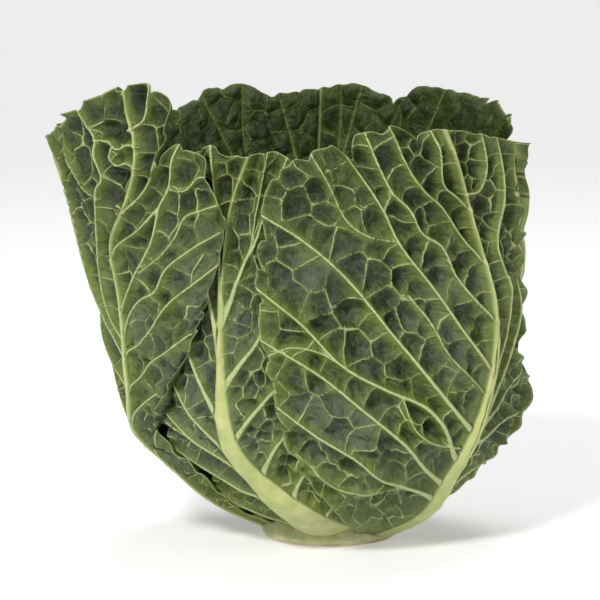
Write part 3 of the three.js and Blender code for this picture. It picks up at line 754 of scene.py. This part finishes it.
def wrapper_leaf(leaf):
    plan, shares, rows, lengths = lay_out(leaf)
    mesh = fan_sheet(leaf["rows"], leaf["columns"])
    side, along, across = read(mesh, "plan").T
    outer = read(mesh, "position")[:, 2] > -SHEET / 2
    along = np.interp(along, np.linspace(0, 1, len(rows)), rows)
    across = across**1.1
    azimuth, height, share = plan(side, along, across)

    # lobes cut the margin back a little, with narrow notches between them
    run = share * np.where(side < 0, lengths[-1], lengths[1])
    spots = np.stack([run, side * 200], axis=1)
    stretch = lambda length, seed: ripple(spots, length, leaf["seed"] + seed)
    wander = LOBE_WANDER * stretch(40, 3)
    notch = np.abs(np.sin(math.pi * (run + wander) / LOBE_LENGTH)) ** NOTCH_WIDTH
    notch = (1 - notch) ** NOTCH_POINT
    back = leaf["lobe"] * (0.6 + 0.5 * stretch(55, 4)) * notch + 0.4 * stretch(6, 5) + 0.4
    back *= np.minimum(height / LOBES_BY, 1)
    near = np.stack(plan(side, along, np.zeros(len(along)))[:2])
    far = np.stack(plan(side, along, np.ones(len(along)))[:2])
    reach = np.linalg.norm(place(*far, 0) - place(*near, 0), axis=1)
    across = across * (1 - np.clip(back / np.maximum(reach, 12), 0, DEEPEST_CUT))
    azimuth, height, share = plan(side, along, across)
    to_margin = np.maximum((1 - across) * reach - back, 0)

    depth = wrapper_depth(leaf, side, along, across, azimuth, height, share)
    frill = 0.8 * np.sin(2 * math.pi * (run + wander) / FRILL_LENGTH) + 0.35 * stretch(9, 6)
    frill *= np.exp(-to_margin / FRILL_REACH)
    frill += 0.1 * stretch(4.5, 7) * np.exp(-to_margin / 3)
    depth += leaf["frill"] * frill * np.minimum(height / FRILLS_BY, 1)

    # low down a margin may be drawn in against the leaf behind
    hug = leaf.get("hug", {-1: 0, 1: 0})
    drawn = np.where(side < 0, hug[-1], hug[1]) * np.exp(-to_margin / HUG_REACH)
    depth += drawn * (1 - ease(*HUG_ENDS, height))

    # veins and net are laid out on the bare shell, or on the blade where it runs steeply outwards
    steep = leaf.get("steep", False)
    base = place(azimuth, height, leaf_depth(leaf, side, across, height) * steep)
    out = place(azimuth, height, depth - 1) - place(azimuth, height, depth)
    line = np.linspace(0, 1, STEPS)
    lines = [(place(a, h, leaf_depth(leaf, parted, line, h) * steep), half, parted)
             for a, h, half, parted in vein_paths(leaf, shares, plan)]
    rib_azimuth, rib_height = course(leaf["rib"])[0](np.linspace(0, 1, 3 * STEPS))
    rib = place(rib_azimuth, rib_height, leaf_depth(leaf, 1, 0, rib_height) * steep)
    sink, rise, marks = relief(leaf, base, out, side, along, outer, to_margin, lines, rib)

    blade = mix(FINE_RIM, FINE_BLADE, 1 - np.exp(-to_margin / RIM_REACH))
    final = place(azimuth, height, depth + sink + np.where(outer, -rise, blade)) * MM
    mesh.vertices.foreach_set("co", final.astype(np.float32).ravel())
    keep(mesh, {**marks, "climb": np.clip(height / 190, 0, 1)})
    finish_mesh(mesh, outer)
    return mesh


print("a side vein narrows from", 2 * VEIN_HALF, "to", 2 * VEIN_TIP, "mm")

# %% [markdown]
# ## Colours
# Colours are read off the real thing as ordinary screen values and turned into the linear
# values that a shader adds and mixes. The leaf's greens are painted shade that darkens the blade
# in its pockets, painted light that lightens it near the veins, and pale veins. A fine net of the
# smallest veins is only
# drawn and embossed, with a Voronoi texture that reads the flat attribute, so that it lies on
# the blade without being stretched by the relief. Nodes could be placed by hand in the shader
# editor. A class with one short method for each kind of node says the same in fewer steps.

# %% Shader helpers
def shade(red, green, blue):
    """Screen values from 0 to 255 as a linear colour."""
    linear = lambda c: c / 12.92 if c <= 0.04045 else ((c + 0.055) / 1.055) ** 2.4
    return (*(linear(c / 255) for c in (red, green, blue)), 1)


class Recipe:
    """A material's nodes, with one short call for each kind that is used here."""

    def __init__(self, name):
        self.material = bpy.data.materials.new(name)
        self.material.use_nodes = True
        self.tree = self.material.node_tree
        self.shader = self.tree.nodes["Principled BSDF"]

    def feed(self, socket, value):
        if isinstance(value, bpy.types.NodeSocket):
            self.tree.links.new(value, socket)
        else:
            socket.default_value = value

    def made(self, kind, inputs, output=0, **settings):
        """One output of a new node, after its settings and inputs were filled in."""
        node = self.tree.nodes.new(kind)
        for name, value in settings.items():
            setattr(node, name, value)
        for key, value in inputs.items():
            self.feed(node.inputs[key], value)
        return node.outputs[output]

    def attribute(self, name, output="Fac"):
        return self.made("ShaderNodeAttribute", {}, output, attribute_name=name)

    def math(self, operation, a, b):
        return self.made("ShaderNodeMath", {0: a, 1: b}, operation=operation)

    def times(self, a, b):
        return self.math("MULTIPLY", a, b)

    def span(self, *values):
        """A value taken smoothly from one span to another, which is 0 to 1 if none is given."""
        inputs = dict(enumerate(values))
        return self.made("ShaderNodeMapRange", inputs, interpolation_type="SMOOTHSTEP")

    def blend(self, share, a, b):
        return self.made("ShaderNodeMix", {0: share, 6: a, 7: b}, 2, data_type="RGBA")

    def noise(self, where, scale, detail=3.0, rough=0.5, output="Fac"):
        inputs = {"Vector": where, "Scale": scale, "Detail": detail, "Roughness": rough}
        return self.made("ShaderNodeTexNoise", inputs, output)

    def cells(self, where, scale):
        inputs = {"Vector": where, "Scale": scale}
        return self.made("ShaderNodeTexVoronoi", inputs, "Distance", feature="DISTANCE_TO_EDGE")

    def stray(self, where, scale, amount):
        """The given place, pushed about by a noise so that a pattern loses its straight lines."""
        push = {0: self.noise(where, scale, 2.0, output="Color"), 1: (amount,) * 3, 2: where}
        return self.made("ShaderNodeVectorMath", push, operation="MULTIPLY_ADD")

    def emboss(self, height, distance, strength, after=None):
        inputs = {"Strength": strength, "Distance": distance, "Height": height}
        if after is not None:
            inputs["Normal"] = after
        return self.made("ShaderNodeBump", inputs)

    def finish(self, **sockets):
        for name, value in sockets.items():
            self.feed(self.shader.inputs[name.replace("_", " ")], value)
        return self.material


print("screen value 128 is", round(shade(128, 128, 128)[0], 3), "to a shader")

# %% [markdown]
# ## Leaf skin
# A savoy's skin is dull and a little waxy. One recipe serves every leaf, and only its colours
# change: dark green outside on the wrapper leaves, under a pale veil that is partly their bloom
# of wax and partly painted reflection, and darkest towards their tips, deeper green on their
# inner faces, lighter in the second whorl and pale in the heart. A
# picture of a leaf would be quicker, but it couldn't follow the veins of each leaf.

# %% The leaf recipe
# deep, mid and bright are the greens that the painted shade and light of the pockets run through
def leaf_skin(name, deep, mid, bright, vein, rib, low=None, flank=None, bloom_and_reflection=0.42, gloss=0.5,
              darken_to_tip=0.0):
    mix_ = Recipe(name)
    span, blend, noise, times = mix_.span, mix_.blend, mix_.noise, mix_.times
    flat = mix_.attribute("flat", "Vector")
    pocket, climb, to_rib, to_margin, wall_half = (
        mix_.attribute(n) for n in ("pocket", "climb", "to_rib", "to_margin", "wall_half"))
    to_vein, to_wall = (
        mix_.math("ABSOLUTE", mix_.attribute(n), 0.0) for n in ("vein_side", "wall_side"))
    past_vein = mix_.math("SUBTRACT", to_vein, mix_.attribute("vein_half"))
    past_wall = mix_.math("SUBTRACT", to_wall, wall_half)
    patches, speckle = noise(flat, 60, 3), noise(flat, 520, 3, 0.6)
    wrinkles = noise(mix_.stray(flat, 90, 0.012), 170, 4, 0.6)
    cells = mix_.cells(mix_.stray(flat, 150, 0.006), 200)

    # the blade, with painted shade: lightest where its pockets are shallow, darkest deep in them,
    # and darker towards its tip
    blade = blend(span(pocket, 0.08, 0.7), bright, mid)
    blade = blend(times(span(pocket, 0.4, 0.95), 0.85), blade, deep)
    blade = blend(span(patches, 0.45, 0.75, 0.0, 0.45), blade, bright)
    # painted shade: the blade darkens where the wrinkle noise is low, in the hollows its bump sinks
    blade = blend(span(wrinkles, 0.58, 0.32, 0.0, 0.55), blade, deep)
    blade = blend(times(span(cells, 0.0, 0.14, 1.0, 0.0), 0.08), blade, vein)
    if low is not None:
        blade = blend(span(climb, 0.02, 0.3, 0.6, 0.0), blade, low)
    # the blade darkens towards the tips of the leaves, by the given share
    blade = blend(span(climb, 0.55, 0.85, 0.0, darken_to_tip), blade, deep)
    # a pale bluish veil in patches, partly the real bloom of wax and partly painted reflection
    wax_and_reflection = times(span(noise(flat, 26, 2), 0.36, 0.66), bloom_and_reflection)
    blade = blend(times(wax_and_reflection, span(climb, 0.85, 0.6)), blade, shade(98, 110, 93))

    # lines, and painted light: a light green beside them, where the blade rises to meet them.
    # For each: how far from a line, how strong, which colour
    skin = blade
    for share, colour in (
        (span(to_rib, 2.2, 0.0, 0.0, 0.4), bright),
        (span(past_wall, 1.0, 0.0, 0.0, 0.3), bright),
        (span(past_wall, 0.12, -0.2, 0.0, 0.66), vein),
        (span(to_margin, 0.7, 0.1, 0.0, 0.5), vein),
        (span(past_vein, 1.4, 0.0, 0.0, 0.45), bright),
        (span(past_vein, 0.15, -0.4, 0.0, 0.9), vein),
    ):
        skin = blend(share, skin, colour)
    foot = blend(span(climb, 0.14, 0.03), rib, shade(174, 176, 130))
    foot = blend(span(noise(flat, 140, 4), 0.35, 0.7, 0.0, 0.3), foot, bright)
    foot = blend(span(noise(flat, 45, 2), 0.4, 0.65, 0.0, 0.35), foot, flank or rib)
    skin = blend(span(to_rib, 0.4, -0.9), skin, foot)

    # small relief: the crests of the ridges, then the finest net, wrinkles and speckle
    net = times(span(past_wall, 0.7, -0.2), span(wall_half, 0, 0.4))
    ridges = mix_.math("MAXIMUM", span(past_vein, 0.5, -0.4), net)
    ridges = mix_.math("MAXIMUM", ridges, span(to_rib, 0.6, -0.4))
    off_rib = span(to_rib, -0.5, 1.0)
    relief_ = mix_.emboss(ridges, 0.0006, 0.8)
    for height, distance, strength in (
        (span(cells, 0.0, 0.5), 0.0004, 0.4), (wrinkles, 0.0035, 0.8), (speckle, 0.0007, 0.6),
    ):
        relief_ = mix_.emboss(times(height, off_rib), distance, strength, relief_)
    return mix_.finish(
        Base_Color=skin, Roughness=span(speckle, 0.2, 0.8, gloss, gloss + 0.16), Normal=relief_,
        Specular_IOR_Level=0.35, Subsurface_Weight=0.05, Subsurface_Radius=(0.4, 1.0, 0.2),
        Subsurface_Scale=0.0012,
    )


OUTSIDE = leaf_skin(
    "wrapper leaf outside", shade(24, 32, 13), shade(56, 68, 24), shade(104, 120, 46),
    shade(180, 189, 134), shade(192, 198, 132), low=shade(122, 136, 50), flank=shade(162, 172, 80),
    darken_to_tip=0.4,
)
INSIDE = leaf_skin(
    "wrapper leaf inside", shade(34, 42, 14), shade(54, 66, 22), shade(74, 88, 34),
    shade(106, 120, 62), shade(146, 156, 96), bloom_and_reflection=0.04, darken_to_tip=0.3,
)
WHORL_OUTSIDE = leaf_skin(
    "second whorl outside", shade(72, 86, 36), shade(100, 116, 52), shade(134, 148, 76),
    shade(188, 196, 138), shade(204, 210, 152), low=shade(176, 182, 118), bloom_and_reflection=0.1,
)
WHORL_INSIDE = leaf_skin(
    "second whorl inside", shade(76, 92, 36), shade(104, 120, 52), shade(136, 150, 74),
    shade(172, 182, 118), shade(198, 204, 144), low=shade(180, 186, 124), bloom_and_reflection=0.05,
)
HEART_SKIN = leaf_skin(
    "heart leaf", shade(112, 128, 56), shade(142, 156, 82), shade(172, 182, 108),
    shade(206, 212, 156), shade(218, 222, 172), low=shade(210, 212, 160), bloom_and_reflection=0.04, gloss=0.38,
)
print("five leaf skins")

# %% [markdown]
# ## The heart
# The heart is a ball of leaves folded over each other. From outside only the outermost six are
# felt, so a ball carries six thin blades, each a step further out than the one before, and a
# short stalk joins it to the stem. The blades are fan sheets too, laid over the ball. Each is
# given by the azimuth where it starts, how far it reaches over the top and half its width, all
# in degrees.

# %% The heart in numbers
HEART_AXES, HEART_HEIGHT = np.array([53, 43, 54]), 81
HEART_STEP, HEART_BLADE = 2.2, 1.5
HEART_LOBES, HEART_ROUNDNESS, HEART_PARTS = (0.07, 17), 0.6, (10, 70)
NECK_RADIUS, NECK_TOP = 15.5, 40
STEM_TOP, GAP = 21.5, 0.4
HEART_LEAVES = [
    (20, 205, 60), (160, 196, 62), (-75, 186, 64), (75, 172, 64), (-150, 160, 66), (-10, 150, 66),
]
HEART_MIDDLE = np.array([LEAN * HEART_HEIGHT, 0, HEART_HEIGHT])
HEART_VEINS = 7


def on_heart(azimuth, along, aside, lift):
    """Degrees from the stalk over the top, degrees to the side and a lift, as a place."""
    turn, rise, veer = np.radians(azimuth), np.radians(along), np.radians(aside)
    outward = np.cos(veer) * np.sin(rise)
    x = outward * np.sin(turn) + np.sin(veer) * np.cos(turn)
    y = -outward * np.cos(turn) + np.sin(veer) * np.sin(turn)
    ball = np.stack([x, y, -np.cos(veer) * np.cos(rise)], axis=-1)
    return HEART_MIDDLE + ball * (HEART_AXES + np.expand_dims(lift, -1))


def heart_blade(number, azimuth, end, width):
    leaf = dict(seed=40 + number, rib_width=5, rib_height=1.6, basin=0.7, pocket=0.8, cell=(8, 8),
                crumple=0.5)
    mesh = fan_sheet(70, 30)
    side, along, across = read(mesh, "plan").T
    outer = read(mesh, "position")[:, 2] > -SHEET / 2

    def spot(side, along, across):
        half = math.pi * along**MARGIN_CROWDING
        lobes = 1 + HEART_LOBES[0] * np.sin(HEART_LOBES[1] * along**MARGIN_CROWDING + side)
        rise = mix(end * VEIN_SPAN * along**VEIN_CROWDING, end * (0.5 - 0.5 * np.cos(half)), across)
        return rise, side * width * np.maximum(np.sin(half), 0) ** HEART_ROUNDNESS * lobes * across

    rise, aside = spot(side, along, across)
    lift = HEART_STEP * (number + 1) * ease(*HEART_PARTS, rise)
    base = on_heart(azimuth, rise, aside, lift)
    far = on_heart(azimuth, *spot(side, along, np.ones(len(along))), 0)
    to_margin = np.linalg.norm(on_heart(azimuth, rise, aside, 0) - far, axis=1)
    line = np.linspace(0, 1, STEPS)
    knots = (np.arange(HEART_VEINS) + 1 / 3) / HEART_VEINS
    raised = lambda r, a: on_heart(azimuth, r, a, HEART_STEP * (number + 1) * ease(*HEART_PARTS, r))
    lines = []
    for half in (-1, 1):
        for knot in knots:
            course_of_vein = raised(*spot(np.full(STEPS, half), np.full(STEPS, knot), line))
            lines.append((course_of_vein, vein_width(line), half))
    rib = raised(end * line, np.zeros(STEPS))
    out = base - HEART_MIDDLE
    sink, rise_up, marks = relief(leaf, base, out, side, along, outer, to_margin, lines, rib)
    lift = lift - sink + np.where(outer, rise_up, -HEART_BLADE)
    final = on_heart(azimuth, rise, aside, lift) * MM
    mesh.vertices.foreach_set("co", final.astype(np.float32).ravel())
    keep(mesh, {**marks, "climb": rise / 180})
    finish_mesh(mesh, outer)
    return mesh


print(len(HEART_LEAVES), "leaves are folded over the heart")

# %% [markdown]
# ## The ball and its stalk
# Under its leaves the heart is solid. A UV sphere pulled to the ball's three radii does for it,
# and a cone of equal radii is the stalk. The ball gets the same attributes as the blades, all far
# from any vein, so that one skin serves the whole heart.

# %% The ball and its stalk
FAR_FROM_VEINS = 30.0


def heart_core():
    bm = bmesh.new()
    bmesh.ops.create_uvsphere(bm, u_segments=96, v_segments=64, radius=1)
    bmesh.ops.scale(bm, vec=HEART_AXES * MM, verts=bm.verts)
    bmesh.ops.translate(bm, vec=HEART_MIDDLE * MM, verts=bm.verts)
    length = NECK_TOP - STEM_TOP - GAP
    place_neck = Matrix.Translation((0, 0, (NECK_TOP - length / 2) * MM))
    bmesh.ops.create_cone(bm, cap_ends=True, segments=64, radius1=NECK_RADIUS * MM,
                          radius2=NECK_RADIUS * MM, depth=length * MM, matrix=place_neck)
    return as_mesh(bm, "heart core")


def fine_heart():
    """The ball and its six blades joined into one mesh."""
    bm = bmesh.new()
    core = heart_core()
    spots = np.array([vert.co for vert in core.vertices]) / MM
    far = np.full(len(spots), FAR_FROM_VEINS)
    keep(core, {name: far for name in ("vein_side", "wall_side", "to_rib", "to_margin")})
    keep(core, {name: far * 0 for name in ("vein_half", "wall_half", "pocket")})
    keep(core, {"flat": spots * MM, "climb": far * 0 + 0.5})
    bm.from_mesh(core)
    for number, (azimuth, end, width) in enumerate(HEART_LEAVES):
        bm.from_mesh(heart_blade(number, azimuth, end, width))
    bmesh.ops.remove_doubles(bm, verts=bm.verts, dist=0.001 * MM)
    return as_mesh(bm, "heart")


print("the heart's stalk is", NECK_TOP - STEM_TOP - GAP, "mm long")

# %% [markdown]
# ## The stem
# The stem was cut off square, and its foot is turned like wood on a lathe: a half outline is
# spun round the axis. spin with use_merge closes the turn. Then the piece leans with the head.
# The cut face has dried in brown blots.

# %% Turn the stem
STEM_RADIUS, STEM_EDGE, STEM_TURNS = 22, 1.5, 160


def fine_stem():
    foot_slope = wall_radius(FIRST_WALL + NUDGE) - wall_radius(FIRST_WALL - NUDGE)
    foot_slope = float(foot_slope) / (2 * NUDGE)
    side_radius = lambda z: float(wall_radius(FIRST_WALL)) - (z - FIRST_WALL) / foot_slope - GAP
    outline = [(r, 0) for r in np.linspace(0, STEM_RADIUS, 24)]
    outline += [(side_radius(STEM_EDGE) - STEM_EDGE, STEM_EDGE / 2)]
    outline += [(side_radius(z), z) for z in np.linspace(2 * STEM_EDGE, STEM_TOP, 16)]
    outline += [(r, STEM_TOP) for r in np.linspace(side_radius(STEM_TOP), 0, 12)[1:]]
    bm = bmesh.new()
    verts = [bm.verts.new((r * MM, 0, z * MM)) for r, z in outline]
    edges = [bm.edges.new(pair) for pair in zip(verts, verts[1:])]
    bmesh.ops.spin(bm, geom=verts + edges, cent=(0, 0, 0), axis=(0, 0, 1), angle=2 * math.pi,
                   steps=STEM_TURNS, use_merge=True)
    bmesh.ops.remove_doubles(bm, verts=bm.verts, dist=1e-6)
    bmesh.ops.recalc_face_normals(bm, faces=bm.faces)
    for vert in bm.verts:
        vert.co.x += LEAN * vert.co.z
    return as_mesh(bm, "stem")


def stem_skin():
    mix_ = Recipe("cut stem")
    where = mix_.made("ShaderNodeTexCoord", {}, "Object")
    height = mix_.made("ShaderNodeSeparateXYZ", {0: where}, 2)
    streaks, blots = mix_.noise(where, 160, 3), mix_.noise(where, 60, 3)
    side = mix_.blend(mix_.span(streaks, 0.3, 0.7), shade(206, 206, 158), shade(170, 176, 116))
    cut = mix_.blend(mix_.span(blots, 0.35, 0.65), shade(206, 196, 158), shade(168, 142, 104))
    skin = mix_.blend(mix_.span(height, 0.0012, 0.0024), cut, side)
    return mix_.finish(Base_Color=skin, Roughness=0.6, Normal=mix_.emboss(streaks, 0.0008, 0.5))


print("the stem's cut face is", 2 * STEM_RADIUS, "mm across")

# %% [markdown]
# ## Growing the leaves
# Now every leaf of the tables is made, and takes the place of its solid. Each has two skins, one
# for its outer face and one for its inner face, because a leaf is darker inside.

# %% Grow the leaves
def show(name, mesh, materials, nodes):
    piece = put(name, mesh)
    for material in materials:
        mesh.materials.append(material)
    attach(piece, "root")
    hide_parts(*nodes)


for leaf in LEAVES:
    mesh = wrapper_leaf(leaf)
    whorl = "inner" in leaf["name"]
    skins = (WHORL_OUTSIDE, WHORL_INSIDE) if whorl else (OUTSIDE, INSIDE)
    show("fine_" + leaf["name"], mesh, skins, [leaf["name"]])
    print(leaf["name"], "has", 2 * len(mesh.polygons), "triangles")

# %% [markdown]
# ## Setting the heart and the stem
# The heart sits in the middle of the whorls, and the stem carries everything. They are the last
# two pieces, and they take the places of their solids in the same way.

# %% Set the heart and the stem
heart_mesh, stem_mesh = fine_heart(), fine_stem()
show("fine_heart", heart_mesh, (HEART_SKIN, HEART_SKIN), ["heart"])
show("fine_stem", stem_mesh, (stem_skin(),), ["stem"])
print("the heart has", sum(len(face.vertices) - 2 for face in heart_mesh.polygons), "triangles")

# %% [markdown]
# ## The floor
# A studio floor is a sheet of pale paper that curves up into a backdrop, so that no horizon
# shows. A grid is bent to that course. It glows faintly, which keeps it pale in the shade.

# %% Floor
FLOOR_REACH, BACKDROP = 8.0, 1.6        # metres to the front and sides, and to the back
FLAT_SHARE, BEND, WALL_SHARE, WALL_RISE = 0.6, 0.8, 0.75, 1.2
floor_bm = bmesh.new()
bmesh.ops.create_grid(floor_bm, x_segments=1, y_segments=64, size=1)
for vert in floor_bm.verts:
    run = (vert.co.y + 1) / 2
    rise = max(0.0, run - FLAT_SHARE) / (1 - FLAT_SHARE)
    turn = rise * math.pi / 2
    level = mix(-FLOOR_REACH, BACKDROP, min(run / FLAT_SHARE, 1))
    vert.co = (vert.co.x * FLOOR_REACH, level + BEND * math.sin(turn),
               BEND * (1 - math.cos(turn)) + WALL_RISE * max(0.0, rise - WALL_SHARE))
floor_mesh = as_mesh(floor_bm, "floor")
floor = put("floor", floor_mesh)
paper = Recipe("studio paper")
floor_mesh.materials.append(paper.finish(
    Base_Color=shade(246, 246, 246), Roughness=0.9, Emission_Color=shade(255, 255, 255),
    Emission_Strength=0.27))
print("the floor reaches", FLOOR_REACH, "m to the front")

# %% [markdown]
# ## The light
# The light is a studio's. The key lamp hangs high in front, a little to the left, and is small
# enough to draw every pocket. A weak wide lamp at the right and a dim white sky fill the shade,
# and one above the head lights the rim of the back leaf.

# %% Light
def lamp(name, place_at, aim, size, power):
    data = bpy.data.lights.new(name, "AREA")
    data.shape, data.size, data.energy = "DISK", size, power
    light = put(name, data)
    light.location = place_at
    light.rotation_euler = (Vector(aim) - Vector(place_at)).to_track_quat("-Z", "Y").to_euler()


MIDDLE = (-0.0129, 0.0, 0.103)
lamp("key", (-0.55, -1.25, 1.15), MIDDLE, 0.36, 23.5)
lamp("fill", (1.5, -1.1, 0.8), MIDDLE, 1.2, 4)
lamp("top", (0.1, 0.5, 1.7), MIDDLE, 1.0, 13)
world = bpy.data.worlds.new("studio sky")
world.use_nodes = True
world.node_tree.nodes["Background"].inputs[0].default_value = (1, 1, 1, 1)
world.node_tree.nodes["Background"].inputs[1].default_value = 0.24
bpy.context.scene.world = world
bpy.context.scene.view_settings.view_transform = "Standard"
print(len(bpy.data.lights), "lamps")

# %% [markdown]
# ## The camera
# The picture was taken from a little above and from straight in front. A long lens from 1.5 m
# keeps the leaves' sizes true. VIEW_WIDTH is what the picture spans at the head, in metres.

# %% Camera
SENSOR = 36
DISTANCE, ELEVATION, VIEW_WIDTH = 1.5, math.radians(8), 0.2586
camera_data = bpy.data.cameras.new("camera")
camera_data.sensor_width = SENSOR
camera_data.lens = SENSOR * DISTANCE / VIEW_WIDTH
camera = put("camera", camera_data)
back = Vector((0, -math.cos(ELEVATION), math.sin(ELEVATION)))
camera.location = Vector(MIDDLE) + DISTANCE * back
camera.rotation_euler = (math.pi / 2 - ELEVATION, 0, 0)
bpy.context.scene.camera = camera
print("the lens is", round(camera_data.lens), "mm long")
